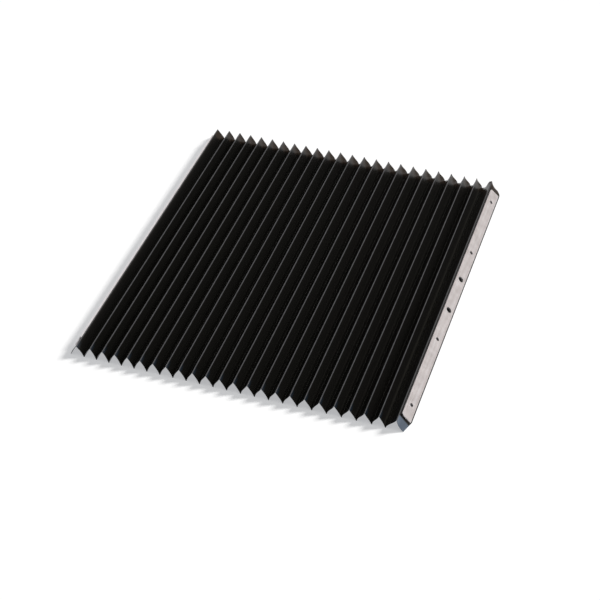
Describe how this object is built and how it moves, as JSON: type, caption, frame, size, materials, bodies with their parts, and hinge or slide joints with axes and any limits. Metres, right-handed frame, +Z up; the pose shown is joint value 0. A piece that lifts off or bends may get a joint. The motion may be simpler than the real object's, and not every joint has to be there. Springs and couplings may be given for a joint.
{
  "type": "bellows way cover",
  "caption": "Flat folded fabric bellows that covers a machine slideway, with a stiff panel under each inner flank and a drilled metal strip on each end flank.",
  "frame": {"origin": "middle of the underside: the fold bottoms that the cover rests on", "axes": "+X along the slideway from the fixed end to the moving end, +Y along the folds, +Z up"},
  "size_m": [0.37, 0.421, 0.0135],
  "materials": {
    "coated_fabric": "black coated cloth with a satin sheen, grey along the creases",
    "bare_metal": "bare mill-finished strip, dull and lightly mottled",
    "panel_plastic": "matt dark grey sheet"
  },
  "bodies": {
    "fixed_end": {"bellows_skin": "coated_fabric", "end_strip_fixed": "bare_metal", "stiffener_01": "panel_plastic", "stiffener_02": "panel_plastic", "stiffener_03": "panel_plastic", "stiffener_04": "panel_plastic", "stiffener_05": "panel_plastic", "stiffener_06": "panel_plastic", "stiffener_07": "panel_plastic", "stiffener_08": "panel_plastic", "stiffener_09": "panel_plastic", "stiffener_10": "panel_plastic", "stiffener_11": "panel_plastic", "stiffener_12": "panel_plastic", "stiffener_13": "panel_plastic", "stiffener_14": "panel_plastic", "stiffener_15": "panel_plastic", "stiffener_16": "panel_plastic", "stiffener_17": "panel_plastic", "stiffener_18": "panel_plastic", "stiffener_19": "panel_plastic", "stiffener_20": "panel_plastic", "stiffener_21": "panel_plastic", "stiffener_22": "panel_plastic", "stiffener_23": "panel_plastic", "stiffener_24": "panel_plastic", "stiffener_25": "panel_plastic", "stiffener_26": "panel_plastic", "stiffener_27": "panel_plastic", "stiffener_28": "panel_plastic", "stiffener_29": "panel_plastic", "stiffener_30": "panel_plastic", "stiffener_31": "panel_plastic", "stiffener_32": "panel_plastic", "stiffener_33": "panel_plastic", "stiffener_34": "panel_plastic", "stiffener_35": "panel_plastic", "stiffener_36": "panel_plastic", "stiffener_37": "panel_plastic", "stiffener_38": "panel_plastic", "stiffener_39": "panel_plastic", "stiffener_40": "panel_plastic", "stiffener_41": "panel_plastic", "stiffener_42": "panel_plastic", "stiffener_43": "panel_plastic", "stiffener_44": "panel_plastic", "stiffener_45": "panel_plastic", "stiffener_46": "panel_plastic"},
    "moving_end": {"end_strip_moving": "bare_metal"}
  },
  "joints": [
    {"name": "bellows_travel", "type": "slide", "parent": "fixed_end", "child": "moving_end", "axis": [1, 0, 0], "range_m": [-0.28, 0], "deforming": ["bellows_skin", "stiffener_01", "stiffener_02", "stiffener_03", "stiffener_04", "stiffener_05", "stiffener_06", "stiffener_07", "stiffener_08", "stiffener_09", "stiffener_10", "stiffener_11", "stiffener_12", "stiffener_13", "stiffener_14", "stiffener_15", "stiffener_16", "stiffener_17", "stiffener_18", "stiffener_19", "stiffener_20", "stiffener_21", "stiffener_22", "stiffener_23", "stiffener_24", "stiffener_25", "stiffener_26", "stiffener_27", "stiffener_28", "stiffener_29", "stiffener_30", "stiffener_31", "stiffener_32", "stiffener_33", "stiffener_34", "stiffener_35", "stiffener_36", "stiffener_37", "stiffener_38", "stiffener_39", "stiffener_40", "stiffener_41", "stiffener_42", "stiffener_43", "stiffener_44", "stiffener_45", "stiffener_46"]}
  ]
}
